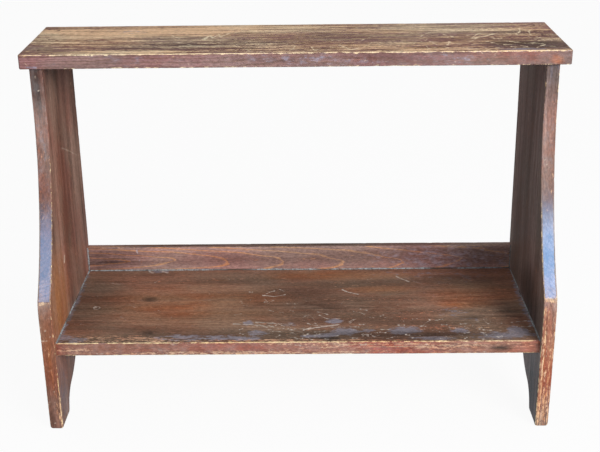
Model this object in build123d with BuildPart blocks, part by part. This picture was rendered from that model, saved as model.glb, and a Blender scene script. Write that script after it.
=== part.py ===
from build123d import *
from math import cos, radians, sin
import os

# A bucket bench of five pine boards, nailed together. Two shaped end boards carry a narrow top and, low down,
# a deeper shelf for full water buckets. A low rail along the back stops the buckets from sliding off.
#
# Millimetres. +X runs along the bench, +Y towards its back and +Z up. The origin is on the floor, under the
# middle of the bench.

# Overall
bench_height = 725.0
bench_depth = 374.0

# Top board
top_length = 1016.0
top_depth = 260.0
top_thickness = 27.0
top_end_overhang = 17.0
top_front_overhang = 6.0
top_corner_radius = 3.0

# End boards
end_thickness = 25.0
neck_length = 68.0
shoulder_height = 277.0
shoulder_ease_depth = 5.0
shoulder_ease_height = 30.0
sole_corner_radius = 5.0

# Cut-out between the two feet of an end board: a cove, a reversed curve and a round arch over the middle
cove_radius = 50.5
reverse_radius = 132.0
arch_radius = 34.0
cove_end_slope = 15.0
arch_start_slope = 45.0

# Shelf, housed in the end boards
shelf_height = 184.0
shelf_thickness = 27.0
shelf_setback = 13.0
housing_depth = 8.0

# Back rail, standing on the shelf
rail_height = 55.0
rail_thickness = 18.0

# Arrises: rounded by use on the straight boards, and taken off with a spokeshave round the end boards
arris_radius = 1.5
front_arris_radius = 2.5
end_arris_chamfer = 1.2

# Cut nails: a flat head and a shank that tapers in width only
nail_length = 63.0
nail_head_width = 7.0
nail_head_depth = 5.0
nail_head_thickness = 1.4
nail_shank_width = 4.6
nail_tip_width = 2.0
nail_shank_thickness = 2.8
top_nail_margin = 36.0
shelf_nail_margin = 52.0
rail_nail_margin = 15.0
rail_foot_nail_spacing = 240.0

# Where the boards meet
front_y = -bench_depth / 2
back_y = bench_depth / 2
end_height = bench_height - top_thickness
end_outer_x = top_length / 2 - top_end_overhang
end_inner_x = end_outer_x - end_thickness
end_middle_x = end_outer_x - end_thickness / 2
top_front_y = back_y - top_depth
neck_y = top_front_y + top_front_overhang
shelf_front_y = front_y + shelf_setback
shelf_underside = shelf_height - shelf_thickness
rail_middle_y = back_y - rail_thickness / 2


def spaced(first, last, count):
    """Evenly spaced places from the first to the last."""
    return [first + (last - first) * step / (count - 1) for step in range(count)]


# One cut nail, head up, with the top of its head at the origin.
with BuildPart() as cut_nail:
    with BuildSketch(Plane.XY):
        Rectangle(nail_head_width, nail_head_depth)
    extrude(amount=-nail_head_thickness)
    with BuildSketch(Plane.XY.offset(-nail_head_thickness)):
        Rectangle(nail_shank_width, nail_shank_thickness)
    with BuildSketch(Plane.XY.offset(-nail_length)):
        Rectangle(nail_tip_width, nail_shank_thickness)
    loft()

# Nails down through the top board into the end grain of each end board.
top_nail_ys = spaced(neck_y + top_nail_margin, back_y - top_nail_margin, 3)
with BuildPart() as top_nails_left:
    with Locations(*[Plane((-end_middle_x, y, bench_height), x_dir=(0, 1, 0)) for y in top_nail_ys]):
        add(cut_nail.part)
top_nails_left.part.label = "top_nails_left"

# Nails through the end board into the shelf, level with the middle of its thickness.
outward = (-1, 0, 0)
shelf_nail_ys = spaced(shelf_front_y + shelf_nail_margin, back_y - shelf_nail_margin, 4)
shelf_nail_z = shelf_height - shelf_thickness / 2
with BuildPart() as shelf_nails_left:
    with Locations(*[Plane((-end_outer_x, y, shelf_nail_z), (0, 1, 0), outward) for y in shelf_nail_ys]):
        add(cut_nail.part)
shelf_nails_left.part.label = "shelf_nails_left"

# Two nails through the end board into the end of the rail.
rail_nail_zs = spaced(shelf_height + rail_nail_margin, shelf_height + rail_height - rail_nail_margin, 2)
with BuildPart() as rail_nails_left:
    with Locations(*[Plane((-end_outer_x, rail_middle_y, z), (0, 0, 1), outward) for z in rail_nail_zs]):
        add(cut_nail.part)
rail_nails_left.part.label = "rail_nails_left"

# The same nails at the right-hand end.
with BuildPart() as top_nails_right:
    mirror(top_nails_left.part, about=Plane.YZ)
top_nails_right.part.label = "top_nails_right"

with BuildPart() as shelf_nails_right:
    mirror(shelf_nails_left.part, about=Plane.YZ)
shelf_nails_right.part.label = "shelf_nails_right"

with BuildPart() as rail_nails_right:
    mirror(rail_nails_left.part, about=Plane.YZ)
rail_nails_right.part.label = "rail_nails_right"

# Nails up through the shelf into the bottom edge of the rail, spaced out from the middle.
with BuildPart() as rail_foot_nails:
    with Locations(Plane((0, rail_middle_y, shelf_underside), x_dir=(1, 0, 0), z_dir=(0, 0, -1))):
        with GridLocations(rail_foot_nail_spacing, 0, 4, 1):
            add(cut_nail.part)
rail_foot_nails.part.label = "rail_foot_nails"

# Top board: one board, its corners and arrises rounded.
with BuildPart() as top_board:
    with BuildSketch(Plane.XY.offset(end_height)):
        with Locations((0, (top_front_y + back_y) / 2)):
            RectangleRounded(top_length, top_depth, top_corner_radius)
    extrude(amount=top_thickness)
    fillet(top_board.faces().filter_by(Axis.Z).edges(), arris_radius)
    add(top_nails_left.part, mode=Mode.SUBTRACT)
    add(top_nails_right.part, mode=Mode.SUBTRACT)
top_board.part.label = "top_board"

# Shelf: its front arrises are rounded between the end boards and its ends stay square in their housings.
with BuildPart() as shelf:
    with BuildSketch(Plane.XY.offset(shelf_underside)):
        with Locations((0, (shelf_front_y + back_y) / 2)):
            Rectangle(2 * (end_inner_x + housing_depth), back_y - shelf_front_y)
    extrude(amount=shelf_thickness)
    front_face = shelf.faces().sort_by(Axis.Y)[0]
    fillet(front_face.edges().filter_by(Axis.X), front_arris_radius)
    for nails in (shelf_nails_left, shelf_nails_right, rail_foot_nails):
        add(nails.part, mode=Mode.SUBTRACT)
shelf.part.label = "shelf"

# Back rail: it stands on the shelf between the end boards, flush with their back edges.
with BuildPart() as back_rail:
    with BuildSketch(Plane.XY.offset(shelf_height)):
        with Locations((0, rail_middle_y)):
            Rectangle(2 * end_inner_x, rail_thickness)
    extrude(amount=rail_height)
    fillet(back_rail.faces().sort_by(Axis.Z)[-1].edges().filter_by(Axis.X), arris_radius)
    for nails in (rail_nails_left, rail_nails_right, rail_foot_nails):
        add(nails.part, mode=Mode.SUBTRACT)
back_rail.part.label = "back_rail"

# Points along one half of the foot cut-out, from the top of the arch down to the inner corner of the foot.
cove_slope = radians(cove_end_slope)
arch_slope = radians(arch_start_slope)
cove_top_z = cove_radius * cos(cove_slope)
reverse_top_z = cove_top_z + reverse_radius * (cos(cove_slope) - cos(arch_slope))
arch_top_z = reverse_top_z + arch_radius * (1 - cos(arch_slope))
reverse_top_y = -arch_radius * sin(arch_slope)
cove_top_y = reverse_top_y - reverse_radius * (sin(arch_slope) - sin(cove_slope))
foot_inner_y = cove_top_y - cove_radius * (1 - sin(cove_slope))

# End board: a wide foot, a swept front edge from the shoulder up to a narrow neck, and a shaped cut-out that
# leaves two feet. A stopped housing takes the shelf and hides behind the front edge.
with BuildPart() as left_end_board:
    with BuildSketch(Plane.YZ.offset(-end_outer_x)):
        with BuildLine():
            Line((front_y, 0), (front_y, shoulder_height - shoulder_ease_height))
            TangentArc(
                (front_y, shoulder_height - shoulder_ease_height),
                (front_y + shoulder_ease_depth, shoulder_height),
                tangent=(0, 1),
            )
            TangentArc(
                (neck_y, end_height - neck_length),
                (front_y + shoulder_ease_depth, shoulder_height),
                tangent=(0, -1),
            )
            Polyline(
                (neck_y, end_height - neck_length),
                (neck_y, end_height),
                (back_y, end_height),
                (back_y, 0),
                (front_y, 0),
            )
        make_face()
        with BuildLine():
            cove = TangentArc((foot_inner_y, 0), (cove_top_y, cove_top_z), tangent=(0, 1))
            reverse = TangentArc((cove_top_y, cove_top_z), (reverse_top_y, reverse_top_z), tangent=cove % 1)
            TangentArc((reverse_top_y, reverse_top_z), (0, arch_top_z), tangent=reverse % 1)
            mirror(about=Plane.YZ)
            Line((foot_inner_y, 0), (-foot_inner_y, 0))
        make_face(mode=Mode.SUBTRACT)
    extrude(amount=end_thickness)
    fillet(left_end_board.edges().filter_by(Axis.X).group_by(Axis.Z)[0], sole_corner_radius)
    broad_faces = left_end_board.faces().filter_by(Axis.X)
    outline = broad_faces.edges().filter_by_position(Axis.Z, 0, end_height, inclusive=(True, False))
    chamfer(outline, end_arris_chamfer)
    with BuildSketch(Plane.YZ.offset(-end_inner_x)):
        with Locations(((shelf_front_y + back_y) / 2, (shelf_underside + shelf_height) / 2)):
            Rectangle(back_y - shelf_front_y, shelf_thickness)
    extrude(amount=-housing_depth, mode=Mode.SUBTRACT)
    for nails in (top_nails_left, shelf_nails_left, rail_nails_left):
        add(nails.part, mode=Mode.SUBTRACT)
left_end_board.part.label = "left_end_board"

with BuildPart() as right_end_board:
    mirror(left_end_board.part, about=Plane.YZ)
right_end_board.part.label = "right_end_board"

os.makedirs("parts", exist_ok=True)
export_step(top_board.part, "parts/top_board.step")
export_step(left_end_board.part, "parts/left_end_board.step")
export_step(right_end_board.part, "parts/right_end_board.step")
export_step(shelf.part, "parts/shelf.step")
export_step(back_rail.part, "parts/back_rail.step")
export_step(top_nails_left.part, "parts/top_nails_left.step")
export_step(top_nails_right.part, "parts/top_nails_right.step")
export_step(shelf_nails_left.part, "parts/shelf_nails_left.step")
export_step(shelf_nails_right.part, "parts/shelf_nails_right.step")
export_step(rail_nails_left.part, "parts/rail_nails_left.step")
export_step(rail_nails_right.part, "parts/rail_nails_right.step")
export_step(rail_foot_nails.part, "parts/rail_foot_nails.step")
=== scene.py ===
from collections import namedtuple
from math import asin, cos, degrees, hypot, pi, radians, sin
from random import Random

import bpy
import numpy as np
from mathutils import Matrix, Vector, kdtree, noise
from mathutils.geometry import delaunay_2d_cdt


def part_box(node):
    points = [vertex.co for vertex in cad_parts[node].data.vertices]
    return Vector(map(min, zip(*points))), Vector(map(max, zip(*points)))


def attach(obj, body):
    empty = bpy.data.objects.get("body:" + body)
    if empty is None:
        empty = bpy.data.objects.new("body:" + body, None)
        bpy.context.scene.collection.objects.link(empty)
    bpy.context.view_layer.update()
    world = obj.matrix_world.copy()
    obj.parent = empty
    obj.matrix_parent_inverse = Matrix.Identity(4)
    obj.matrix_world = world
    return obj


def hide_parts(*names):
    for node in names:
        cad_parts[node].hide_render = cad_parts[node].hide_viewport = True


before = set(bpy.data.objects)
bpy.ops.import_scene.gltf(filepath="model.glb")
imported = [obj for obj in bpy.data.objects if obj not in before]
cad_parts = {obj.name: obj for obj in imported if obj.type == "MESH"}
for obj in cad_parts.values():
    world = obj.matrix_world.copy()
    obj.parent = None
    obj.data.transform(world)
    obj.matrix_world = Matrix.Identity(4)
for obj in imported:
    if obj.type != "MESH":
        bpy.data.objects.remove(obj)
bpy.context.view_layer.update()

# ------------------------------
# Left end board
# One wide pine board standing on end. Its front edge was sawn to a sweep, from the shoulder to a narrow neck,
# and its bottom to a cut-out that leaves two feet. Its arrises were eased, and it was stained and varnished.

MM = 0.001

end_low, end_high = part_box("left_end_board")
front_y, back_y = end_low.y, end_high.y
end_top_z = end_high.z
end_outer_x = -end_low.x
end_inner_x = -end_high.x

neck_y = -67 * MM
neck_z = end_top_z - 68 * MM
shoulder_z = 277 * MM
shoulder_ease_depth = 5 * MM
shoulder_ease_height = 30 * MM
sole_corner_radius = 5 * MM
cove_radius = 50.5 * MM
reverse_radius = 132 * MM
arch_radius = 34 * MM
cove_start_angle = 174
cove_end_slope = 15
arch_start_slope = 45


def arc(centre, radius, start, end, step=3 * MM):
    """Points on an arc from one angle to another, in degrees, without the last."""
    count = max(4, round(abs(radians(end - start)) * radius / step))
    angles = [radians(start + (end - start) * i / count) for i in range(count)]
    return [(centre[0] + radius * cos(angle), centre[1] + radius * sin(angle)) for angle in angles]


def line(start, end, step=3 * MM):
    """Points on a straight line, without the last."""
    count = max(1, round(hypot(end[0] - start[0], end[1] - start[1]) / step))
    return [(start[0] + (end[0] - start[0]) * i / count, start[1] + (end[1] - start[1]) * i / count)
            for i in range(count)]


def end_board_outline():
    """The outline in (y, z), anticlockwise from the heel of the front foot, with the cut-out on the way."""
    cove_slope, arch_slope = radians(cove_end_slope), radians(arch_start_slope)
    cove_top = (-arch_radius * sin(arch_slope) - reverse_radius * (sin(arch_slope) - sin(cove_slope)),
                cove_radius * cos(cove_slope))
    cove_centre = (cove_top[0] + cove_radius * sin(cove_slope), 0)
    reverse_centre = (cove_top[0] - reverse_radius * sin(cove_slope),
                      cove_top[1] + reverse_radius * cos(cove_slope))
    arch_centre_z = reverse_centre[1] - (reverse_radius + arch_radius) * cos(arch_slope)
    foot_y = cove_centre[0] - cove_radius
    corner = sole_corner_radius
    fine = 1.2 * MM
    half = arc((foot_y - corner, corner), corner, 270, 360, fine)
    half += arc(cove_centre, cove_radius, cove_start_angle, 90 + cove_end_slope)
    half += arc(reverse_centre, reverse_radius, 270 + cove_end_slope, 270 + arch_start_slope)
    half += arc((0, arch_centre_z), arch_radius, 90 + arch_start_slope, 90)
    crown = (0, arch_centre_z + arch_radius)

    sweep_rise, sweep_run = neck_z - shoulder_z, neck_y - front_y - shoulder_ease_depth
    sweep_radius = (sweep_rise ** 2 + sweep_run ** 2) / (2 * sweep_run)
    ease_radius = (shoulder_ease_height ** 2 + shoulder_ease_depth ** 2) / (2 * shoulder_ease_depth)
    ease_z = shoulder_z - shoulder_ease_height
    return (
        arc((front_y + corner, corner), corner, 180, 270, fine)
        + line((front_y + corner, 0), (foot_y - corner, 0))
        + half + [crown] + [(-y, z) for y, z in reversed(half)]
        + line((corner - foot_y, 0), (back_y - corner, 0))[1:]
        + arc((back_y - corner, corner), corner, 270, 360, fine)
        + line((back_y, corner), (back_y, end_top_z))
        + line((back_y, end_top_z), (neck_y, end_top_z))
        + line((neck_y, end_top_z), (neck_y, neck_z))
        + arc((neck_y - sweep_radius, neck_z), sweep_radius, 0, -degrees(asin(sweep_rise / sweep_radius)))
        + arc((front_y + ease_radius, ease_z), ease_radius,
              180 - degrees(asin(shoulder_ease_height / ease_radius)), 180)
        + line((front_y, ease_z), (front_y, corner))
    )


# A mark is a scratch, dent or speck: a line of points on one side of a board, with its width, its depth and
# how bare it is. A patch is a soft oval of wear, haze, dirt or an orange tone, and some patches are painted
# light, shade, sheen and reflections instead. Both are in millimetres.
SIDES = {"left": (0, -1), "right": (0, 1), "front": (1, -1), "back": (1, 1), "under": (2, -1), "top": (2, 1)}
Mark = namedtuple("Mark", "side line width depth bare")
Patch = namedtuple("Patch", "kind side centre reach amount")


def patches(**sides):
    """Patches listed by side and kind, each as its centre, its reach in both directions and its amount."""
    return [Patch(kind, side, (a, b), (reach_a, reach_b), amount) for side, kinds in sides.items()
            for kind, spots in kinds.items() for a, b, reach_a, reach_b, amount in spots]


def flat(places, side):
    """The two coordinates of some places that lie along a side."""
    return np.delete(np.asarray(places), SIDES[side][0], axis=1)


def marks_on(side, *marks):
    """Marks on one side, each as its line, width and depth and how bare it is."""
    return [Mark(side, *mark) for mark in marks]


def knocks(rng, side, low, high, count, longest, bare=0.8, width=1.6, drift=1.0):
    """Small scratches and dents scattered over a stretch of one side. Drift is how far they slant."""
    marks = []
    depth, shortest = 0.3, 4
    for _ in range(count):
        a, b = rng.uniform(low[0], high[0]), rng.uniform(low[1], high[1])
        length = longest * rng.random() ** 3
        angle = rng.uniform(-drift, drift) * pi / 2
        bow = rng.uniform(-0.08, 0.08) * length
        points = [(a + length * (t - 0.5) * cos(angle) - bow * sin(pi * t) * sin(angle),
                   b + length * (t - 0.5) * sin(angle) + bow * sin(pi * t) * cos(angle))
                  for t in (0, 0.35, 0.65, 1)]
        marks.append(Mark(side, points if length > shortest else points[:1], width * rng.uniform(0.6, 1.4),
                          depth * rng.uniform(0.4, 1.3), bare * rng.uniform(0.5, 1.1)))
    return marks


def spacing_from(points, line_points):
    """How far each point lies from a line."""
    line_points = np.asarray(line_points, float)
    nearest = np.full(len(points), 1e9)
    for i in range(max(1, len(line_points) - 1)):
        start = line_points[i]
        run = line_points[min(i + 1, len(line_points) - 1)] - start
        reach = np.clip(((points - start) @ run) / max(run @ run, 1e-12), 0, 1)
        nearest = np.minimum(nearest, np.linalg.norm(points - start - reach[:, None] * run, axis=1))
    return nearest


def inside(points, ring):
    """Which points lie inside a closed ring."""
    hits = np.zeros(len(points), bool)
    for (ax, ay), (bx, by) in zip(ring, np.roll(ring, -1, axis=0)):
        if ay != by:
            crosses = (ay > points[:, 1]) != (by > points[:, 1])
            hits ^= crosses & (points[:, 0] < (bx - ax) * (points[:, 1] - ay) / (by - ay) + ax)
    return hits


def off_edge(score, ring, width):
    """Whether a scratch lies well inside a ring, all of it."""
    return inside(score, ring).all() and spacing_from(ring, score).min() > 1.5 * width


def broad_face(ring, spacing, scores, pockets):
    """Triangles over one broad face: its ring, a grid of points, a furrow along each scratch and a sunk
    rectangle for each nail head. Returns the points, how deep the pockets sink them, the triangles, and where
    the ring's points are among them."""
    pocket_depth, pocket_taper = 1.6 * MM, 0.15 * MM
    points, edges, depths = [tuple(p) for p in ring], [], [0.0] * len(ring)
    ring_size = len(points)
    scores = [(score, width) for score, width in scores if off_edge(score, ring, width)]

    def add_chain(chain, depth=0.0, closed=False):
        first = len(points)
        points.extend(chain)
        depths.extend([depth] * len(chain))
        edges.extend((first + i, first + i + 1) for i in range(len(chain) - 1))
        if closed:
            edges.append((first + len(chain) - 1, first))

    low, high = ring.min(axis=0), ring.max(axis=0)
    columns, rows = np.ceil((high - low) / spacing).astype(int)
    grid = np.array([(low[0] + (i + 0.5 * (j % 2)) * spacing, low[1] + j * spacing)
                     for j in range(rows + 1) for i in range(columns + 1)])
    grid = grid[inside(grid, ring)]
    tree = kdtree.KDTree(ring_size)
    for i, (u, v) in enumerate(ring):
        tree.insert((u, v, 0), i)
    tree.balance()
    clear = np.array([tree.find((u, v, 0))[2] > 0.6 * spacing for u, v in grid])
    for centre, half in pockets:
        clear &= (np.abs(grid - centre) > np.array(half) + 0.4 * MM).any(axis=1)
    for score, width in scores:
        clear &= spacing_from(grid, score) > width
    points += [tuple(point) for point in grid[clear]]
    depths += [0.0] * (len(points) - ring_size)

    for centre, half in pockets:
        for inset, depth in ((0, 0), (pocket_taper, pocket_depth)):
            a, b = half[0] - inset, half[1] - inset
            corners = ((-a, -b), (a, -b), (a, b), (-a, b))
            add_chain([(centre[0] + x, centre[1] + y) for x, y in corners], depth, closed=True)
    for score, width in scores:
        score = np.asarray(score, float)
        if len(score) == 1:
            turns = [(cos(pi * i / 3), sin(pi * i / 3)) for i in range(6)]
            add_chain([tuple(score[0])])
            add_chain([tuple(score[0] + width / 2 * np.array(turn)) for turn in turns], closed=True)
            continue
        heading = np.gradient(score, axis=0)
        side = np.stack((-heading[:, 1], heading[:, 0]), 1)
        side /= np.maximum(np.linalg.norm(side, axis=1), 1e-9)[:, None]
        for offset in (-0.5, 0, 0.5):
            ends = slice(None) if offset == 0 else slice(1, -1)
            add_chain([tuple(p) for p in (score + side * width * offset)[ends]])

    border = list(range(ring_size))
    corners = [Vector(p) for p in points]
    found, _, faces, origins, _, _ = delaunay_2d_cdt(corners, edges, [border], 1, 1e-7, True)
    sink = [max([depths[i] for i in origin], default=0.0) for origin in origins]
    start_of = {}
    for i, origin in enumerate(origins):
        for old in origin:
            start_of.setdefault(old, i)
    found, faces = np.array([tuple(p) for p in found]), np.array(faces)
    faces = faces[inside(found[faces].mean(axis=1), ring)]
    return found, np.array(sink), faces, [start_of[i] for i in border]


def new_piece(name, points, faces):
    """A smooth mesh of these points and faces, put in the scene."""
    mesh = bpy.data.meshes.new(name)
    mesh.from_pydata(points, [], faces)
    mesh.validate()
    mesh.polygons.foreach_set("use_smooth", [True] * len(mesh.polygons))
    piece = bpy.data.objects.new(name, mesh)
    bpy.context.scene.collection.objects.link(piece)
    return piece


def board(name, outline, low, high, axes, marks, patches, seed, arris_bare, pockets=(), arris=1.5,
          spacing=5.0, uneven=0.25, lean=None):
    """A board as a closed mesh: two broad faces and an edge wall that follows the outline, with worn arrises.
    Axes say which way the outline's two directions and the thickness run. It carries what the finish reads at
    each point: how rubbed, scratched, worn, hazed, dirty, amber, ruddy and shiny it is, from 0 to 1. Some of
    the cloudy patches are painted sheen and painted reflections, some of the darkening ones painted shade,
    and one orange one painted light."""
    outline = np.array(outline)
    ahead, behind = np.roll(outline, -1, 0) - outline, outline - np.roll(outline, 1, 0)
    ahead_long, behind_long = np.linalg.norm(ahead, axis=1), np.linalg.norm(behind, axis=1)
    tangent = ahead / ahead_long[:, None] + behind / behind_long[:, None]
    tangent /= np.linalg.norm(tangent, axis=1)[:, None]
    out = np.stack((tangent[:, 1], -tangent[:, 0]), 1)
    turn = np.arctan2(behind[:, 0] * ahead[:, 1] - behind[:, 1] * ahead[:, 0], (ahead * behind).sum(1))
    bend = (ahead_long + behind_long) / 2 / np.maximum(turn, 1e-6)
    widest = np.minimum.reduce([np.roll(bend, shift) for shift in (-2, -1, 0, 1, 2)]) * 0.9

    def arris_radii(shift):
        """The arris is rounder in some places, chipped here and there, and worn round down at the floor."""
        radii = []
        for u, v in outline:
            slow = noise.noise((u * 9, v * 9, shift))
            quick = noise.noise((u * 70, v * 70, shift + 5))
            chip = max(0.0, noise.noise((u * 90, v * 90, shift + 9)) - 0.35) * 3
            low_down = max(0.0, 1 - v / (9 * MM)) * 2.2 if axes[1] == 2 else 0
            radii.append(arris * MM * (1 + 0.3 * slow + 0.12 * quick + chip + low_down))
        return np.minimum(np.maximum(radii, 0.5 * MM), np.maximum(widest, 0.3 * MM))

    places, outward, on_arris = [], [], []

    def to_frame(uv, w):
        place = np.zeros((len(uv), 3))
        place[:, axes[0]], place[:, axes[1]], place[:, axes[2]] = uv[:, 0], uv[:, 1], w
        return place

    def add_ring(uv, w, tilt, arris_share):
        """Tilt is 90 where the ring faces straight out of the edge, and 0 on the broad face."""
        face_way = 1 if np.mean(w) > (low + high) / 2 else -1
        places.append(to_frame(uv, w))
        outward.append(to_frame(out * sin(radians(tilt)), face_way * cos(radians(tilt))))
        on_arris.append(np.full(len(uv), arris_share))

    arris_steps = ((0, 0.6), (30, 1.0), (60, 1.0), (90, 0.6))
    upper, lower = arris_radii(seed * 3.1), arris_radii(seed * 5.7)
    for tilt, share in arris_steps:
        inset = upper * (1 - sin(radians(tilt)))
        add_ring(outline - out * inset[:, None], high - upper * (1 - cos(radians(tilt))), tilt, share)
    wall_top, wall_low = high - upper, low + lower
    for share in (0.07, 0.22, 0.4, 0.6, 0.78, 0.93):
        add_ring(outline, wall_top + (wall_low - wall_top) * share, 90, 0)
    for tilt, share in reversed(arris_steps):
        inset = lower * (1 - sin(radians(tilt)))
        add_ring(outline - out * inset[:, None], low + lower * (1 - cos(radians(tilt))), tilt, share)

    count, rings = len(outline), len(places)
    faces = [(row + i, row + count + i, row + count + (i + 1) % count, row + (i + 1) % count)
             for row in range(0, (rings - 1) * count, count) for i in range(count)]

    total = rings * count
    for way, row in ((1, 0), (-1, rings - 1)):
        side = next(key for key, value in SIDES.items() if value == (axes[2], way))
        order = -1 if axes[0] > axes[1] else 1
        ring = places[row][:, [axes[0], axes[1]]]
        scores = [(np.array(mark.line)[:, ::order] * MM, mark.width * MM)
                  for mark in marks if mark.side == side]
        holes = [(np.array(centre)[::order] * MM, np.array(half)[::order] * MM)
                 for where, centre, half in pockets if where == side]
        coarse = 1 if scores else 2
        found, sink, triangles, border = broad_face(ring, spacing * MM * coarse, scores, holes)
        index = np.full(len(found), -1)
        for i, vertex in enumerate(border):
            index[vertex] = row * count + i
        new = np.flatnonzero(index < 0)
        index[new] = total + np.arange(len(new))
        total += len(new)
        level = high if way > 0 else low
        place = to_frame(found[new], level)
        place[:, axes[2]] -= way * sink[new]
        places.append(place)
        outward.append(to_frame(np.zeros((len(new), 2)), way))
        on_arris.append(np.zeros(len(new)))
        faces += [tuple(index[i] for i in (tri if way > 0 else reversed(tri))) for tri in triangles]

    place, outward, on_arris = np.concatenate(places), np.concatenate(outward), np.concatenate(on_arris)
    dent, scratched = np.zeros(len(place)), np.zeros(len(place))
    for mark in marks:
        axis, way = SIDES[mark.side]
        facing = outward[:, axis] * way > 0.5
        line_points = np.array(mark.line, float) * MM
        spots = flat(place, mark.side)
        near = facing & (spots > line_points.min(0) - mark.width * MM).all(1)
        near &= (spots < line_points.max(0) + mark.width * MM).all(1)
        if near.any():
            strength = np.clip(1 - spacing_from(spots[near], line_points) / (mark.width * MM / 2), 0, 1)
            dent[near] = np.maximum(dent[near], mark.depth * MM * strength)
            scratched[near] = np.maximum(scratched[near], mark.bare * strength)
    drift = np.array([noise.noise((x * 7, y * 7, z * 7 + seed)) + 0.5 * noise.noise((x * 19, y * 19, z * 19))
                      for x, y, z in place])
    kinds = {kind: np.zeros(len(place))
             for kind in ("worn", "hazed_and_sheened", "dirty_and_shaded", "amber_and_painted_light", "ruddy", "shiny", "rubbed")}
    for patch in patches:
        axis, way = SIDES[patch.side]
        facing = outward[:, axis] * way > 0.3
        off = (flat(place, patch.side) / MM - patch.centre) / patch.reach
        strength = patch.amount * np.clip(1 - (off ** 2).sum(1), 0, 1) * facing
        kinds[patch.kind] = 1 - (1 - kinds[patch.kind]) * (1 - strength)
    kinds["rubbed"] = on_arris * (arris_bare + kinds["rubbed"] + 0.4 * drift)
    kinds["scratched"] = scratched
    place -= outward * (dent + uneven * MM * drift)[:, None]
    if lean:
        place[:, 0] += lean(place)

    piece = new_piece(name, place.tolist(), faces)
    for kind, values in kinds.items():
        levels = piece.data.attributes.new(kind, "FLOAT", "POINT").data
        levels.foreach_set("value", values.astype(np.float32))
    return piece


class Finish:
    """A finish, as the nodes of a material or of the world, with short ways to build it up."""

    def __init__(self, name, library=bpy.data.materials, shader="Principled BSDF"):
        self.result = library.new(name)
        self.result.use_nodes = True
        self.tree = self.result.node_tree
        self.shader = self.tree.nodes[shader]

    def node(self, kind, sockets, **settings):
        made = self.tree.nodes.new("ShaderNode" + kind)
        for key, value in settings.items():
            setattr(made, key, value)
        self.plug(made, sockets)
        return made.outputs

    def plug(self, made, sockets):
        for key, value in sockets.items():
            if isinstance(value, bpy.types.NodeSocket):
                self.tree.links.new(value, made.inputs[key])
            else:
                made.inputs[key].default_value = value

    def show(self, surface):
        """Show another shader than the one that was there."""
        output = next(made for made in self.tree.nodes if made.type.startswith("OUTPUT"))
        self.tree.links.new(surface, output.inputs["Surface"])

    def spot(self):
        """Where a point lies, in metres."""
        return self.node("TexCoord", {})["Object"]

    def vector(self, x, y, z):
        return self.node("CombineXYZ", {0: x, 1: y, 2: z})[0]

    def length(self, vector):
        return self.node("VectorMath", {0: vector}, operation="LENGTH")["Value"]

    def sum(self, *values):
        total = values[0]
        for value in values[1:]:
            total = self.node("Math", {0: total, 1: value}, operation="ADD")[0]
        return total

    def times(self, a, b):
        return self.node("Math", {0: a, 1: b}, operation="MULTIPLY")[0]

    def fade(self, value, start, end, low=0.0, high=1.0):
        """Runs smoothly from low to high as the value goes from start to end."""
        sockets = {"Value": value, "From Min": start, "From Max": end, "To Min": low, "To Max": high}
        return self.node("MapRange", sockets, interpolation_type="SMOOTHSTEP")[0]

    def swing(self, value, most):
        """Turns noise into a swing of at most this much to either side of 0."""
        return self.fade(value, 0.3, 0.7, -most, most)

    def mix(self, amount, under, over):
        return self.node("Mix", {0: amount, 6: under, 7: over}, data_type="RGBA")[2]

    def speckle(self, place, scale, detail=3.0, rough=0.55):
        """Noise, finer the larger the scale is in each direction."""
        scaled = self.node("VectorMath", {0: place, 1: scale}, operation="MULTIPLY")[0]
        return self.node("TexNoise", {"Vector": scaled, "Scale": 1.0, "Detail": detail,
                                      "Roughness": rough})[0]

    def reading(self, kind):
        return self.node("Attribute", {}, attribute_name=kind)["Fac"]


def colour(red, green, blue):
    """A colour written as on a paint card, from 0 to 255, as the light that it gives back."""
    return tuple((c / 255 / 12.92 if c <= 10 else ((c / 255 + 0.055) / 1.055) ** 2.4)
                 for c in (red, green, blue)) + (1.0,)


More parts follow.
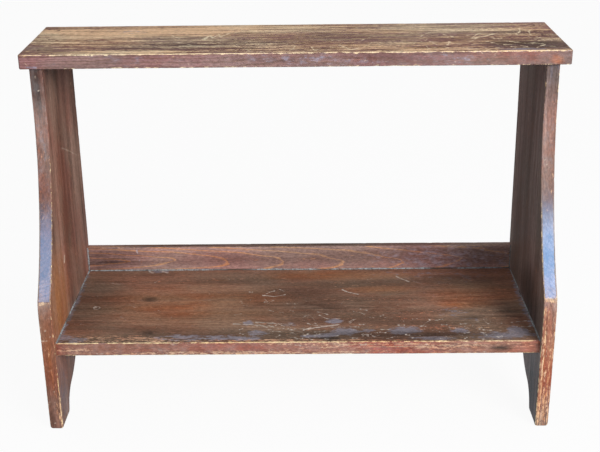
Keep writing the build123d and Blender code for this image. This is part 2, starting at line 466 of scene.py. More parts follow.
def varnished_pine(name, grain, tones, heart, gloss, ring_gap=4.5, ring_show=0.5, ring_line=0, wavy=1.0,
                   streaks=1.0, streak_size=75, knots=(), haze_and_sheen_edge=(0.3, 1.1)):
    """Pine under an old dark varnish. The heart is where the tree's middle ran: its place across the board
    and through it, and how fast it drifts in each along the grain, which draws the pointed figure. The rings
    show as broad bands, or as lines as wide as ring_line says in millimetres. Haze sets in between the two
    levels of haze_and_sheen_edge, and its blots are crisp where they are near each other; some of it is a
    painted sheen and painted reflections."""
    pine = Finish(name)
    node, total, times, fade, swing = pine.node, pine.sum, pine.times, pine.fade, pine.swing
    mix, speckle, reading = pine.mix, pine.speckle, pine.reading
    tint = {part: colour(*tone) for part, tone in tones.items()}
    x, y, z = node("SeparateXYZ", {0: pine.spot()})
    along, across, deep = {"x": (x, y, z), "z": (z, y, x), "x on edge": (x, z, y)}[grain]
    wood = pine.vector(along, across, deep)

    sway = speckle(wood, (2.6, 9, 9), 2)
    ripple = speckle(wood, (14, 40, 40), 2)
    fibre = speckle(wood, (14, 420, 420), 4, 0.65)
    streak = speckle(wood, (2.2, streak_size, streak_size), 5, 0.65)
    broad = speckle(wood, (1.6, 13, 13), 3)
    cloud = speckle(wood, (55, 90, 90), 5, 0.65)
    flakes = speckle(wood, (55, 230, 230), 5, 0.7)
    mottle = speckle(wood, (120, 330, 330), 6, 0.75)
    thread = speckle(wood, (8, 170, 170), 4, 0.6)
    drift = speckle(wood, (5, 10, 10), 3)

    def from_heart(value, place, slope, bend):
        wander = 6 * MM * wavy
        return total(times(along, -slope), value, -place, fade(bend, 0.2, 0.8, -wander, wander))

    side_off = from_heart(across, heart[0] * MM, heart[2], sway)
    deep_off = from_heart(deep, heart[1] * MM, heart[3], broad)
    radial = pine.length(pine.vector(0.0, side_off, deep_off))
    pull, knot_dark = 0.0, 0.0
    for *middle, long, wide in knots:
        away = node("VectorMath", {0: wood, 1: tuple(c * MM for c in middle)}, operation="SUBTRACT")[0]
        away = node("VectorMath", {0: away, 1: (1 / long / MM, 1 / wide / MM, 0)}, operation="MULTIPLY")[0]
        away = total(pine.length(away), swing(ripple, 0.25))
        pull = total(fade(away, 0.6, 3.0, 0.012, 0.0), pull)
        knot_dark = total(fade(away, 0.3, 1.5, 1.0, 0.0), knot_dark)
    shiver = 1.2 * MM * wavy
    rings = times(total(radial, fade(ripple, 0.2, 0.8, -shiver, shiver), pull), 1 / (ring_gap * MM))
    ring = node("Math", {0: rings}, operation="FRACT")[0]
    late = times(fade(ring, 0.45, 0.92), fade(ring, 0.93, 1.0, 1.0, 0.0))
    if ring_line:
        steep = pine.length(pine.vector(0.0, side_off, times(deep_off, heart[3])))
        gap_left = times(fade(ring, 0, 1, ring_gap, 0), radial)
        away = node("Math", {0: gap_left, 1: steep}, operation="DIVIDE")[0]
        late = fade(away, 0, ring_line, 1.0, 0.0)

    body = mix(fade(broad, 0.36, 0.64), tint["deep"], tint["mid"])
    body = mix(fade(streak, 0.48, 0.66, 0.0, 0.6 * streaks), body, tint["deep"])
    body = mix(fade(thread, 0.5, 0.68, 0.0, 0.4 * streaks), body, tint["deep"])
    body = mix(fade(fibre, 0.5, 0.75, 0.0, 0.45 * streaks), body, tint["light"])
    # These patches turn the wood orange, and one of them, on the shelf, is painted light.
    body = mix(times(reading("amber_and_painted_light"), fade(streak, 0.35, 0.65, 0.55, 1.0)), body, tint["amber_and_painted_light"])
    if "ruddy" in tint:
        body = mix(reading("ruddy"), body, tint["ruddy"])
    body = mix(times(times(late, fade(broad, 0.35, 0.65, 0.35, 1.0)), ring_show), body, tint["ring"])
    if knots:
        body = mix(times(knot_dark, 0.6), body, tint["dirt_and_shade"])

    fibre_edge = total(swing(fibre, 0.2), swing(streak, 0.25))
    flaked = total(swing(flakes, 0.3), swing(mottle, 0.3))
    worn = fade(total(reading("worn"), fibre_edge, flaked), 0.42, 0.62)
    bands = total(times(fibre, 0.3), times(streak, 0.3), times(thread, 0.4), times(reading("worn"), 0.15))
    bare_wood = mix(fade(bands, 0.52, 0.67), tint["bare_dark"], tint["bare"])
    bare_wood = mix(times(late, 0.5), bare_wood, tint["mid"])
    body = mix(worn, body, bare_wood)

    # These patches cloud the varnish grey-blue, and some of them are a painted sheen and painted reflections.
    misty = total(swing(cloud, 0.35), swing(flakes, 0.3))
    hazed_and_sheened = fade(total(reading("hazed_and_sheened"), misty), *haze_and_sheen_edge, 0.0, 0.7)
    body = mix(hazed_and_sheened, body, tint["haze_and_sheen"])
    # These patches darken the wood with dirt, and some of them are painted shade.
    dirty_and_shaded = total(reading("dirty_and_shaded"), swing(broad, 0.2), times(fibre_edge, 0.5))
    body = mix(fade(dirty_and_shaded, 0.15, 0.95, 0.0, 0.9), body, tint["dirt_and_shade"])

    chips = fade(speckle(wood, (90, 210, 210), 3, 0.7), 0.32, 0.68, -0.35, 0.35)
    rubbed = fade(total(reading("rubbed"), chips), 0.4, 0.75)
    body = mix(rubbed, body, tint["rubbed"])
    scuffed = times(reading("scratched"), fade(cloud, 0.3, 0.6, 0.35, 1.0))
    body = mix(fade(scuffed, 0.1, 0.8), body, tint["scuff"])
    body = node("HueSaturation", {
        "Hue": fade(drift, 0.35, 0.65, 0.498, 0.514), "Saturation": fade(drift, 0.35, 0.65, 1.2, 0.98),
        "Value": fade(mottle, 0.32, 0.68, 0.7, 1.3), "Color": body})[0]

    rough = total(fade(fibre, 0.3, 0.7, gloss - 0.05, gloss + 0.07), times(worn, 0.2), times(rubbed, 0.25),
                  times(hazed_and_sheened, 0.12))
    height = total(times(fibre, 0.5), times(late, 0.3), times(streak, 0.3), times(rubbed, -0.25),
                   times(worn, -0.5))
    normal = node("Bump", {"Height": height, "Strength": 0.6, "Distance": 0.25 * MM})[0]
    flow = node("Bump", {"Height": streak, "Strength": 0.3, "Distance": 0.2 * MM})[0]
    coat = total(reading("shiny"), swing(cloud, 0.15), times(rubbed, -1.0))
    pine.plug(pine.shader, {
        "Base Color": body, "Roughness": rough, "Normal": normal, "IOR": 1.5, "Specular IOR Level": 0.15,
        "Coat Weight": fade(coat, 0.2, 0.9), "Coat Roughness": 0.16, "Coat IOR": 2.2, "Coat Normal": flow})
    return pine.result


def nail_pockets(nodes, side):
    """A pocket, a little larger than the head, for each nail head that these CAD nodes show on one side."""
    axis, way = SIDES[side]
    head_reach, clearance = 12, 0.25
    pockets = []
    for node in nodes:
        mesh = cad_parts[node].data
        faces = [face for face in mesh.polygons if face.normal[axis] * way > 0.9]
        level = max(way * mesh.vertices[face.vertices[0]].co[axis] for face in faces)
        heads = [face for face in faces if way * mesh.vertices[face.vertices[0]].co[axis] > level - 0.1 * MM]
        corners = {tuple(round(c / MM, 2) for c in mesh.vertices[i].co)
                   for face in heads for i in face.vertices}
        groups = []
        for corner in sorted(corners):
            near = next((g for g in groups if (Vector(g[0]) - Vector(corner)).length < head_reach), None)
            near.append(corner) if near else groups.append([corner])
        for group in groups:
            spots = flat(group, side)
            low, high = spots.min(0), spots.max(0)
            pockets.append((side, tuple((low + high) / 2), tuple((high - low) / 2 + clearance)))
    return pockets


def finish_piece(piece, material, node):
    """The piece stands for a CAD node and rides where the node does."""
    piece.data.materials.append(material)
    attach(piece, "root")
    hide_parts(node)


end_tones = dict(deep=(104, 75, 67), mid=(175, 136, 125), light=(174, 124, 100), ring=(98, 64, 54),
                 amber_and_painted_light=(182, 106, 66), bare=(228, 188, 156), bare_dark=(150, 98, 80), haze_and_sheen=(130, 124, 134),
                 dirt_and_shade=(50, 36, 34), rubbed=(226, 200, 164), scuff=(206, 188, 172))
chance = Random(11)
left_marks = (
    knocks(chance, "right", (-180, 10), (180, 690), 40, 22, bare=0.35, width=1.2)
    + knocks(chance, "left", (-180, 10), (180, 690), 60, 30, bare=0.4, width=1.2)
    + knocks(chance, "front", (-490, 10), (-467, 270), 34, 12, bare=0.95, width=2.4)
    + knocks(chance, "front", (-490, 270), (-467, 690), 6, 3, bare=0.6, width=2.4)
    + marks_on("front",
        ([(-481, 682)], 6, 0.5, 0.9), ([(-477, 656)], 6, 0.5, 1.0), ([(-486, 445)], 5, 0.5, 1.0),
        ([(-487, 394)], 4, 0.4, 1.0))
    + marks_on("right",
        ([(-45, 301), (-40, 309)], 4, 0.5, 1.0), ([(-88, 297)], 6, 0.5, 0.9),
        ([(26, 515), (80, 492), (153, 459)], 2.2, 0.1, 0.5), ([(-162, 251)], 7, 0.4, 0.7))
)
left_patches = patches(
    right=dict(
        amber_and_painted_light=[(-110, 240, 90, 130, 0.95), (-30, 420, 90, 260, 0.1), (-120, 150, 80, 120, 0.3)],
        dirty_and_shaded=[(-60, 640, 40, 260, 0.3), (70, 420, 30, 260, 0.2), (-150, 90, 60, 75, 0.35),
               (60, 690, 180, 80, 0.5), (170, 330, 50, 160, 0.4)],
        hazed_and_sheened=[(-150, 60, 60, 80, 0.7)],
        rubbed=[(-120, 300, 120, 300, 0.35), (-170, 60, 60, 90, 0.8)]),
    front=dict(
        amber_and_painted_light=[(-479, 180, 30, 120, 0.35)],
        dirty_and_shaded=[(-484, 20, 8, 30, 0.5), (-484, 90, 14, 110, 0.3), (-479, 690, 30, 130, 0.7),
               (-479, 340, 30, 90, 0.45)],
        # This haze patch is a painted reflection, grey-blue high on the front edge.
        hazed_and_sheened=[(-479, 590, 30, 160, 0.3)],
        worn=[(-470, 60, 8, 90, 0.45), (-479, 274, 30, 6, 0.8)],
        shiny=[(-479, 610, 60, 150, 0.4), (-479, 340, 60, 120, 1.0), (-479, 500, 60, 240, 0.45)],
        rubbed=[(-479, 277, 20, 6, 0.4)]),
    left=dict(
        rubbed=[(-180, 110, 60, 170, 0.45)]))
left_end_board = board("end_board_left", end_board_outline(), -end_outer_x, -end_inner_x, (1, 2, 0),
                       marks=left_marks, patches=left_patches, seed=3, arris_bare=0.2,
                       pockets=nail_pockets(("shelf_nails_left", "rail_nails_left"), "left"))
left_pine = varnished_pine("varnished_pine_left_end", "z", end_tones, (20, -540, 0.01, 0.02), gloss=0.35)
finish_piece(left_end_board, left_pine, "left_end_board")

# ------------------------------
# Right end board
# The same pattern as the left one, turned over. Its colours are greyer, a painted sheen, and its inner face
# is painted darker, a painted shade. It leans in a little at the top, and the varnish is worn down to the
# wood along the lower front edge.

lean_in = 3 * MM
lean_from_z = 184 * MM


def right_lean(place):
    """How far the board leans in, none at the shelf and most at the top."""
    return -lean_in * np.clip((place[:, 2] - lean_from_z) / (end_top_z - lean_from_z), 0, 1)


chance = Random(12)
right_marks = (
    knocks(chance, "left", (-180, 10), (180, 690), 40, 20, bare=0.3, width=1.2)
    + knocks(chance, "right", (-180, 10), (180, 690), 60, 30, bare=0.4, width=1.2)
    + knocks(chance, "front", (467, 10), (490, 270), 16, 8, bare=0.7, width=2.4)
    + knocks(chance, "front", (467, 270), (490, 690), 5, 3, bare=0.5, width=2.4)
    + marks_on("left",
        ([(60, 334)], 4, 0.4, 1.0), ([(52, 310)], 4, 0.4, 1.0),
        ([(66, 566), (72, 560), (69, 556)], 2, 0.2, 0.7))
    + marks_on("front", ([(472, 517), (480, 502)], 2.5, 0.2, 0.8))
)
right_patches = patches(
    left=dict(
        # This list is painted shade on the inner face, not dirt: over all of it, round the shelf and at the
        # foot.
        dirty_and_shaded=[(0, 420, 300, 500, 0.33), (-60, 210, 140, 90, 0.8), (-150, 60, 90, 110, 0.7)],
        rubbed=[(-120, 300, 120, 260, 0.3), (-170, 60, 60, 160, 0.5)]),
    front=dict(
        amber_and_painted_light=[(479, 150, 60, 170, 0.9), (479, 545, 30, 130, 0.4)],
        dirty_and_shaded=[(479, 350, 30, 90, 0.55), (479, 695, 40, 110, 0.55)],
        # These haze patches are a painted reflection, grey-blue high on the front edge.
        hazed_and_sheened=[(479, 690, 30, 40, 0.6), (479, 560, 30, 130, 0.25)],
        worn=[(479, 130, 40, 190, 0.2), (488, 200, 9, 90, 0.2), (470, 200, 6, 110, 0.25),
              (479, 30, 34, 110, 0.45), (479, 274, 30, 6, 0.8)],
        shiny=[(479, 350, 60, 120, 1.0), (479, 500, 60, 240, 0.55)],
        rubbed=[(479, 277, 20, 6, 0.4)]))
right_end_board = board("end_board_right", end_board_outline(), end_inner_x, end_outer_x, (1, 2, 0),
                        marks=right_marks, patches=right_patches, seed=4, arris_bare=0.25, lean=right_lean,
                        pockets=nail_pockets(("shelf_nails_right", "rail_nails_right"), "right"))
# Greyer than the left board's tones, a painted sheen, with a neutral dark grey that is painted shade.
right_tones_painted_sheen_and_shade = end_tones | dict(deep=(108, 94, 89), mid=(166, 147, 142), amber_and_painted_light=(166, 98, 80), dirt_and_shade=(48, 46, 46))
right_pine = varnished_pine("varnished_pine_right_end", "z", right_tones_painted_sheen_and_shade, (-30, 545, -0.008, 0.015),
                            gloss=0.35, streaks=0.8)
finish_piece(right_end_board, right_pine, "right_end_board")

# ------------------------------
# Shelf
# The deep low board that carries the buckets, housed in the two ends. Its varnish is scuffed by the buckets,
# hazed by water along the front, and rubbed through along the front arris.

shelf_low, shelf_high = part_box("shelf")
rail_low, rail_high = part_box("back_rail")


def plank_outline(a_low, a_high, b_low, b_high, corner):
    """A long rectangle with rounded corners, anticlockwise."""
    fine = 0.8 * MM
    left, right, lower, upper = a_low + corner, a_high - corner, b_low + corner, b_high - corner
    return (
        arc((left, lower), corner, 180, 270, fine) + line((left, b_low), (right, b_low))
        + arc((right, lower), corner, 270, 360, fine) + line((a_high, lower), (a_high, upper))
        + arc((right, upper), corner, 0, 90, fine) + line((right, b_high), (left, b_high))
        + arc((left, upper), corner, 90, 180, fine) + line((a_low, upper), (a_low, lower))
    )


shelf_tones = dict(deep=(112, 90, 79), mid=(166, 131, 115), light=(180, 130, 92), ring=(116, 76, 62),
                   amber_and_painted_light=(184, 116, 82), ruddy=(164, 96, 88), bare=(228, 186, 160),
                   bare_dark=(190, 130, 110), haze_and_sheen=(148, 146, 158), dirt_and_shade=(48, 42, 39),
                   rubbed=(224, 194, 158), scuff=(204, 192, 184))
chance = Random(21)
shelf_marks = (
    knocks(chance, "top", (-455, -165), (455, 160), 110, 30, bare=0.55, drift=0.8, width=1.4)
    + knocks(chance, "top", (-60, -125), (150, -30), 50, 26, bare=0.9, drift=0.7, width=1.5)
    + knocks(chance, "top", (-140, -20), (0, 60), 22, 18, bare=0.9, drift=1.0, width=1.4)
    + knocks(chance, "top", (-200, -165), (455, -120), 60, 16, bare=0.8, drift=0.6, width=1.6)
    + knocks(chance, "top", (200, -165), (455, -90), 60, 14, bare=0.9, drift=0.8, width=1.8)
    + knocks(chance, "top", (-455, -165), (455, 160), 170, 3, bare=0.9, width=2.2)
    + knocks(chance, "top", (120, -168), (460, -70), 90, 22, bare=1.0, drift=0.25, width=1.3)
    + knocks(chance, "top", (-90, -160), (160, -90), 40, 24, bare=1.0, drift=0.3, width=1.4)
    + knocks(chance, "front", (-460, 160), (460, 182), 80, 16, bare=0.7, width=2.6, drift=0.2)
    + knocks(chance, "top", (-120, -165), (160, -90), 60, 12, bare=1.0, drift=0.5, width=2.4)
    + marks_on("top",
        ([(-128, -95), (-75, -101), (-60, -112)], 2.4, 0.3, 0.7),
        ([(-75, 36), (-50, 30), (-28, 38)], 2, 0.3, 0.9), ([(92, 62), (104, 50), (126, 38)], 2, 0.3, 0.9),
        ([(212, 128), (226, 112), (238, 100)], 2, 0.3, 0.8),
        ([(-419, -14), (-412, -13), (-408, -19), (-412, -25), (-419, -24), (-422, -19), (-419, -14)],
         2.2, 0.2, 0.9),
        ([(18, -119), (45, -111), (80, -100)], 4.6, 0.3, 0.9),
        ([(-85, -88), (-50, -94), (-12, -98)], 3, 0.3, 0.8), ([(-331, 163), (-322, 155)], 3, 0.2, 1.0),
        ([(-302, 162), (-290, 156)], 2.6, 0.2, 1.0), ([(20, 74)], 4, 0.3, 1.0),
        ([(-160, 66)], 3.5, 0.3, 1.0))
)
shelf_patches = patches(
    top=dict(
        # The second of these, along the back, is painted light where the rail shades the shelf.
        amber_and_painted_light=[(-220, -10, 240, 120, 0.5), (80, 135, 200, 30, 0.5), (170, 60, 100, 22, 0.45),
               (370, 30, 120, 70, 0.4), (345, -12, 70, 24, 0.5)],
        dirty_and_shaded=[(-440, 10, 130, 220, 0.55), (-310, 150, 60, 20, 0.5), (0, 50, 140, 42, 0.6),
               (30, -20, 260, 60, 0.5), (325, 123, 95, 20, 0.45), (400, 120, 100, 60, 0.2),
               (345, -72, 50, 22, 0.5), (430, -40, 50, 60, 0.4), (180, -148, 380, 34, 0.7),
               (0, 169, 700, 12, 0.3), (62, -160, 26, 10, 0.9)],
        hazed_and_sheened=[(71, -86, 22, 15, 1.2), (93, -131, 34, 20, 1.4), (62, -147, 26, 16, 1.3),
               (30, -150, 30, 9, 1.0), (140, -127, 20, 13, 1.0), (208, -129, 42, 22, 1.2),
               (-99, -92, 14, 16, 1.1), (-77, -135, 28, 16, 1.1), (-98, -158, 44, 12, 1.1),
               (-16, -98, 18, 12, 1.0), (319, -131, 26, 16, 1.1), (400, -152, 76, 20, 1.1),
               (432, -132, 28, 24, 1.1), (265, -162, 60, 12, 1.0), (316, -50, 44, 26, 0.55),
               (345, -80, 36, 14, 0.5), (-200, -154, 120, 20, 0.85), (-446, -158, 50, 24, 0.9),
               # The two long narrow patches along the ends are a painted reflection at the joints, and the
               # broad one at the right back is a painted sheen.
               (-466, 0, 13, 220, 0.9), (464, -20, 13, 200, 0.8), (-310, 161, 34, 9, 0.95),
               (340, 140, 190, 50, 0.35)],
        worn=[(-370, -152, 110, 22, 0.45), (-60, -166, 420, 8, 0.4), (-260, -158, 90, 12, 0.4),
              (330, -120, 110, 14, 0.4)],
        rubbed=[(0, -174, 700, 8, 0.5)]),
    front=dict(
        ruddy=[(0, 170, 900, 60, 0.8)],
        dirty_and_shaded=[(395, 168, 28, 9, 0.6), (-250, 170, 750, 60, 0.5), (420, 170, 300, 60, 0.12)],
        worn=[(0, 170, 900, 60, 0.05), (240, 174, 360, 16, 0.35), (-430, 168, 50, 10, 0.6),
              (0, 159, 500, 9, 0.5)],
        shiny=[(0, 170, 900, 60, 0.5)],
        rubbed=[(0, 157, 700, 8, 0.35)]))
shelf_back_y = shelf_high.y + 0.3 * MM
shelf_outline = plank_outline(shelf_low.x, shelf_high.x, shelf_low.y, shelf_back_y, 2 * MM)
shelf = board("shelf_board", shelf_outline, shelf_low.z, shelf_high.z, (0, 1, 2), arris=1.8, spacing=4.5,
              marks=shelf_marks, patches=shelf_patches, seed=5, uneven=0.3, arris_bare=0.3,
              pockets=nail_pockets(("rail_foot_nails",), "under"))
shelf_pine = varnished_pine("varnished_pine_shelf", "x", shelf_tones, (-20, 60, 0.02, 0.03), gloss=0.38,
                            streaks=0.45, haze_and_sheen_edge=(0.4, 0.85),
                            knots=((-313, 18, 184, 17, 11), (-293, -132, 184, 18, 11)))
finish_piece(shelf, shelf_pine, "shelf")

# ------------------------------
# Back rail
# A low board on edge along the back of the shelf, so that nothing slides off. Plain sawn, so the figure runs
# along it in pointed loops, with the top arris rubbed pale by hands and handles.

rail_tones = dict(deep=(134, 106, 102), mid=(200, 166, 160), light=(176, 130, 110), ring=(232, 172, 130),
                  amber_and_painted_light=(178, 112, 76), bare=(206, 156, 126), bare_dark=(164, 112, 88),
                  haze_and_sheen=(160, 150, 160), dirt_and_shade=(54, 44, 44), rubbed=(190, 156, 136), scuff=(200, 190, 196))
chance = Random(31)
rail_marks = (
    knocks(chance, "front", (-455, 190), (455, 236), 40, 16, bare=0.4, width=1.3)
    + marks_on("front", ([(-358, 238), (-356, 224), (-353, 209)], 2.4, 0.2, 1.0))
)
rail_patches = patches(
    front=dict(
        dirty_and_shaded=[(-430, 212, 130, 60, 0.6)],
        # This haze patch is a painted reflection on the right of the front face.
        hazed_and_sheened=[(330, 212, 230, 60, 0.6)],
        rubbed=[(0, 239, 460, 6, 0.35)]),
    top=dict(
        dirty_and_shaded=[(0, 178, 600, 20, 0.75)]))
rail_outline = plank_outline(rail_low.x, rail_high.x, rail_low.z, rail_high.z, 1.5 * MM)
rail_on_edge = [(z, x) for x, z in reversed(rail_outline)]
back_rail = board("rail_board", rail_on_edge, rail_low.y, rail_high.y, (2, 0, 1), arris=1.3, spacing=4,
                  marks=rail_marks, patches=rail_patches, seed=6, arris_bare=0.15)
rail_pine = varnished_pine("varnished_pine_rail", "x on edge", rail_tones, (205, 211, 0.0, 0.045), ring_gap=6,
                           ring_show=0.85, ring_line=1.8, wavy=0.55, gloss=0.5, streaks=0.7)
finish_piece(back_rail, rail_pine, "back_rail")

# ------------------------------
# Top board
# One narrow board nailed down on the ends. Years of use have worn the varnish off its upper face, down to
# honey coloured wood with dark streaks, and rubbed the front arris pale.

top_low, top_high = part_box("top_board")
out_of_square = 5.7 * MM
sawn_stretch = 60 * MM


def top_skew(place):
    """The left end was sawn out of square, longer at the back."""
    left = np.clip((top_low.x + sawn_stretch - place[:, 0]) / sawn_stretch, 0, 1)
    return -left * out_of_square * (place[:, 1] - top_low.y) / (top_high.y - top_low.y)


top_tones = dict(deep=(106, 80, 78), mid=(160, 126, 126), light=(172, 132, 122), ring=(96, 70, 52),
                 amber_and_painted_light=(186, 112, 84), bare=(243, 212, 179), bare_dark=(100, 76, 58), haze_and_sheen=(152, 150, 168),
                 dirt_and_shade=(58, 46, 38), rubbed=(238, 216, 186), scuff=(226, 206, 180))
chance = Random(41)
top_marks = (
    knocks(chance, "top", (-500, -68), (500, 182), 130, 60, bare=0.8, drift=0.7, width=1.8)
    + knocks(chance, "top", (250, -60), (470, 130), 70, 50, bare=1.2, drift=1.0, width=1.8)
    + knocks(chance, "top", (-120, -68), (300, 40), 50, 44, bare=1.1, drift=1.0, width=1.8)
    + knocks(chance, "top", (-450, -68), (450, -40), 80, 12, bare=1.0, drift=1.0, width=2.6)
    + knocks(chance, "front", (-500, 702), (500, 722), 90, 8, bare=0.6, width=2.6)
    + marks_on("top",
        ([(-319, -66), (-316, -50), (-308, -44)], 7, 0.4, 1.0),
        ([(-176, 50), (-168, 88), (-160, 62), (-152, 96), (-146, 74), (-132, 102)], 3.4, 0.3, 1.2),
        ([(-217, -8), (-160, -10), (-112, -12)], 4, 0.2, 0.9),
        ([(84, -16), (96, -34), (104, -54), (118, -40)], 3, 0.3, 1.1),
        ([(341, 39), (362, 52), (385, 74)], 4, 0.3, 1.1), ([(401, 9)], 9, 0.6, 1.2),
        ([(218, 35)], 5, 0.3, 0.9))
)
top_patches = patches(
    top=dict(
        amber_and_painted_light=[(-420, 60, 160, 90, 0.35)],
        dirty_and_shaded=[(-440, -36, 120, 40, 0.3), (-230, -20, 160, 16, 0.2), (440, -26, 130, 52, 0.8),
               (360, 30, 120, 40, 0.4), (440, 90, 90, 26, 0.6), (100, 50, 260, 80, 0.35)],
        # The two haze patches at the right front are a painted bluish highlight.
        hazed_and_sheened=[(-330, 130, 50, 30, 0.5), (425, -58, 60, 12, 1.0), (400, -40, 150, 40, 0.35)],
        worn=[(0, 57, 900, 400, 0.6), (-250, 165, 460, 90, 0.8), (-280, 90, 200, 80, 0.4),
              (-410, 70, 140, 120, 0.45), (-330, -56, 130, 20, 0.7), (330, 140, 260, 80, 0.35)],
        rubbed=[(0, -73, 900, 10, 0.34)]),
    front=dict(
        amber_and_painted_light=[(480, 708, 16, 10, 1.0), (400, 712, 120, 20, 0.3)],
        # These haze patches are a painted grey-blue sheen on the front face.
        hazed_and_sheened=[(-488, 700, 18, 7, 0.9), (24, 712, 70, 14, 0.6), (-300, 714, 100, 18, 0.3),
               (-60, 716, 70, 12, 0.3), (130, 708, 60, 12, 0.4), (300, 712, 90, 14, 0.3)],
        worn=[(0, 712, 1200, 60, 0.08)],
        shiny=[(60, 712, 900, 60, 0.36), (380, 712, 240, 60, 0.4)],
        rubbed=[(0, 699, 1600, 6, 0.15), (0, 725, 1600, 8, 0.3)]))
top_outline = plank_outline(top_low.x, top_high.x, top_low.y, top_high.y, 4 * MM)
top_board = board("top_plank", top_outline, top_low.z, top_high.z, (0, 1, 2), arris=1.8, spacing=4,
                  marks=top_marks, patches=top_patches, seed=7, uneven=0.35, arris_bare=0.27, lean=top_skew,
                  pockets=nail_pockets(("top_nails_left", "top_nails_right"), "top"))
top_pine = varnished_pine("worn_pine_top", "x", top_tones, (-40, 690, 0.015, 0.03), gloss=0.5, ring_gap=5,
                          ring_show=0.6, streak_size=34)
finish_piece(top_board, top_pine, "top_board")

# ------------------------------
# Nails
# Cut iron nails with flat heads. Those in the top were stained over with the board; the others were left to
# darken and rust a little round the rim.


def nail_finish(name, iron, rust, rough):
    finish = Finish(name)
    pitted = finish.speckle(finish.spot(), (900, 900, 900), 4, 0.7)
    blotch = finish.speckle(finish.spot(), (260, 260, 260), 3)
    both = finish.sum(finish.times(pitted, 0.5), finish.times(blotch, 0.5))
    finish.plug(finish.shader, {
        "Base Color": finish.mix(finish.fade(both, 0.42, 0.6), colour(*iron), colour(*rust)),
        "Roughness": finish.fade(blotch, 0.3, 0.7, rough, rough + 0.25),
        "Normal": finish.node("Bump", {"Height": pitted, "Strength": 0.7, "Distance": 0.2 * MM})[0]})
    return finish.result


stained_iron = nail_finish("stained_iron", (84, 62, 50), (112, 82, 62), 0.6)
dark_iron = nail_finish("dark_iron", (46, 40, 38), (84, 54, 40), 0.5)
for node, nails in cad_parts.items():
    if "nails" in node:
        nails.data.materials.clear()
        nails.data.materials.append(stained_iron if node.startswith("top") else dark_iron)

# ------------------------------
# Corner varnish
# Where two boards meet, the varnish ran into the corner and dried as a thin bead. It is painted pale bluish
# grey in specks, a painted reflection of the light along the corner, with brown stretches of varnish.


def varnish_bead(name, start, end, wall_a, wall_b, size, seed):
    """A bead with a hollow face along a corner, reaching a little way out along each of the two boards."""
    start, end, wall_a, wall_b = (Vector(v) for v in (start, end, wall_a, wall_b))
    count = round((end - start).length / (4 * MM))
    sunk = 0.5 * MM
    verts, faces = [], []
    for i in range(count + 1):
        centre = start.lerp(end, i / count)
        sample = noise.noise((centre * 60) + Vector((seed, 0, 0))) + 0.6 * noise.noise(centre * 190)
        reach = size * MM * (1 + 0.45 * sample)
        verts.append(centre - (wall_a + wall_b) * sunk)
        for turn in (0, 0.25, 0.5, 0.75, 1):
            hollow = (cos(turn * pi / 2), sin(turn * pi / 2))
            verts.append(centre + wall_a * reach * (1 - hollow[1]) + wall_b * reach * (1 - hollow[0]))
    around = 6
    for i in range(count):
        for j in range(around):
            a, b = i * around + j, i * around + (j + 1) % around
            faces.append((a, b, b + around, a + around))
    faces.append(tuple(reversed(range(around))))
    faces.append(tuple(count * around + j for j in range(around)))
    return new_piece(name, verts, faces)


def bead_varnish_painted_glint():
    finish = Finish("bead_varnish_painted_glint")
    glint_specks = finish.speckle(finish.spot(), (160, 160, 160), 5, 0.7)
    length = finish.speckle(finish.spot(), (11, 11, 11), 3)
    # Pale bluish grey specks, a painted reflection, and brown stretches of varnish.
    tint = finish.mix(finish.fade(glint_specks, 0.35, 0.65), colour(104, 104, 106), colour(176, 184, 188))
    tint = finish.mix(finish.fade(length, 0.45, 0.62), tint, colour(92, 80, 72))
    normal = finish.node("Bump", {"Height": glint_specks, "Strength": 0.6, "Distance": 0.3 * MM})[0]
    finish.plug(finish.shader, {"Base Color": tint, "Roughness": finish.fade(glint_specks, 0.3, 0.7, 0.6, 0.8),
                                "Normal": normal, "Specular IOR Level": 0.15})
    return finish.result


corners = ((shelf_low.y, shelf_high.z), (rail_low.y, shelf_high.z), (rail_low.y, rail_high.z))
left_front, left_back, left_top = [(-end_inner_x, y, z) for y, z in corners]
right_front, right_back, right_top = [(end_inner_x, y, z) for y, z in corners]
up, forward, rightward, leftward = (0, 0, 1), (0, -1, 0), (1, 0, 0), (-1, 0, 0)
corner_lines = {
    "rail_foot": (left_back, right_back, up, forward),
    "shelf_left": (left_front, left_back, up, rightward),
    "shelf_right": (right_front, right_back, leftward, up),
    "rail_left": (left_back, left_top, forward, rightward),
    "rail_right": (right_back, right_top, leftward, forward),
}
bead_finish = bead_varnish_painted_glint()
for number, (name, ends) in enumerate(corner_lines.items()):
    bead = varnish_bead("corner_varnish_" + name, *ends, size=2.2, seed=number)
    bead.data.materials.append(bead_finish)
    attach(bead, "root")

# ------------------------------
# Studio: a pale floor, soft light and the camera
# A key light stands in front on the right. Two blue strips, like a bright sky, hang high in front. Dark
# cloths hang behind the bench and lie under it. Strips and cloths show only in the varnish.

floor = new_piece("floor", [(-30, -30, 0), (30, -30, 0), (30, 30, 0), (-30, 30, 0)], [(0, 1, 2, 3)])
white = (1, 1, 1, 1)


def seen_directly(finish):
    """1 where the camera sees it, also mirrored or through glass, and 0 where it only lights the bench."""
    rays = finish.node("LightPath", {})
    return finish.sum(rays["Is Camera Ray"], rays["Is Glossy Ray"], rays["Is Transmission Ray"])


paper = Finish("pale_paper")
grain = paper.speckle(paper.spot(), (300, 300, 300), 3)
paper_tint = paper.mix(paper.fade(grain, 0.3, 0.7), colour(212, 212, 214), colour(220, 220, 222))
paper.plug(paper.shader, {"Base Color": paper_tint, "Roughness": 0.9})
glow = paper.node("Emission", {"Color": white, "Strength": 1.0})[0]
glow_share = paper.fade(seen_directly(paper), 0, 1, 0, 0.94)
paper.show(paper.node("MixShader", {0: glow_share, 1: paper.shader.outputs[0], 2: glow})[0])
floor.data.materials.append(paper.result)


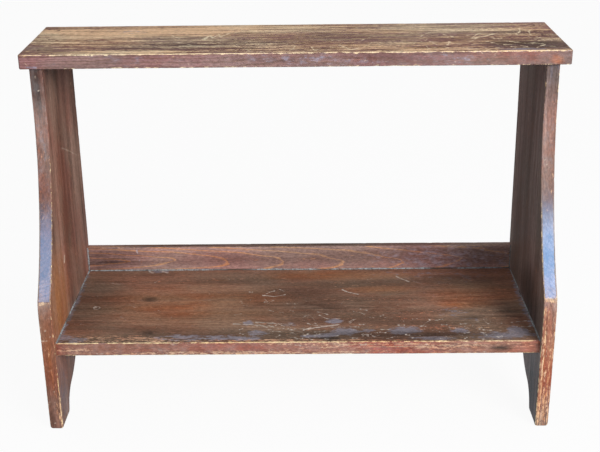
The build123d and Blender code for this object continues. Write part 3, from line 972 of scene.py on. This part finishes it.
def mirrored_sheet(name, corners, tint, strength_low, strength_high, low_z, high_z):
    """A sheet that only the varnish mirrors, brighter from low_z to high_z and a little towards the right."""
    sheet = new_piece(name, corners, [(0, 1, 2, 3)])
    light = Finish(name)
    place = light.node("SeparateXYZ", {0: light.spot()})
    strength = light.times(light.fade(place["Z"], low_z, high_z, strength_low, strength_high),
                           light.fade(place["X"], -1.2, 1.2, 0.75, 1.25))
    light.show(light.node("Emission", {"Color": tint, "Strength": strength})[0])
    sheet.data.materials.append(light.result)
    sheet.visible_camera = sheet.visible_diffuse = sheet.visible_shadow = False


strip_corners = ((0.8, -3.0, 1.0), (1.7, -3.0, 1.0), (1.7, -2.6, 3.8), (0.8, -2.6, 3.8))
sky_blue = (0.24, 0.5, 0.92, 1)
pale_blue = (0.8, 0.9, 1, 1)
for name, side in (("sky_strip_left", -1), ("sky_strip_right", 1)):
    mirrored_sheet(name, [(side * x, y, z) for x, y, z in strip_corners], sky_blue, 0.0, 4.3, 1.0, 1.9)
cloth_half, cloth_y, cloth_top = 3, 0.7, 1.6
mirrored_sheet("cloth_behind", [(-cloth_half, cloth_y, 0), (cloth_half, cloth_y, 0),
                                (cloth_half, cloth_y, cloth_top), (-cloth_half, cloth_y, cloth_top)],
               white, 0.06, 0.1, 0.0, cloth_top)
cloth_front_y, cloth_z = -0.185, 0.0004
mirrored_sheet("cloth_below", [(-cloth_half, cloth_front_y, cloth_z), (cloth_half, cloth_front_y, cloth_z),
                               (cloth_half, cloth_y, cloth_z), (-cloth_half, cloth_y, cloth_z)],
               pale_blue, 0.36, 0.36, 0.0, cloth_top)

studio = Finish("studio", bpy.data.worlds, "Background")
studio.plug(studio.shader, {"Color": (0.96, 0.98, 1.0, 1), "Strength": 0.5})
backdrop = studio.node("Background", {"Color": white, "Strength": 1.0})[0]
studio.show(studio.node("MixShader", {0: seen_directly(studio), 1: studio.shader.outputs[0], 2: backdrop})[0])
bpy.context.scene.world = studio.result

key_place = Vector((2.1, -2.8, 2.3))
key_target = Vector((0, 0, 0.35))
key_light = bpy.data.lights.new("key_light", "AREA")
key_light.shape = "SQUARE"
key_light.size = 1.8
key_light.energy = 135
key_light.color = (1.0, 0.97, 0.94)
key = bpy.data.objects.new("key_light", key_light)
key.location = key_place
key.rotation_euler = (key_target - key_place).to_track_quat("-Z", "Y").to_euler()
key.visible_glossy = False
bpy.context.scene.collection.objects.link(key)

camera_place = (0.0292, -2.0357, 1.1678)
camera_turn = 0.01169
camera_dip = 0.37989
camera_roll = -0.0118
camera = bpy.data.cameras.new("camera")
camera.sensor_width = 36
camera.lens = 65.29
viewer = bpy.data.objects.new("camera", camera)
viewer.matrix_world = (Matrix.Translation(camera_place) @ Matrix.Rotation(camera_turn, 4, "Z")
                       @ Matrix.Rotation(pi / 2 - camera_dip, 4, "X") @ Matrix.Rotation(camera_roll, 4, "Z"))
bpy.context.scene.collection.objects.link(viewer)
bpy.context.scene.camera = viewer
bpy.context.scene.view_settings.view_transform = "Standard"
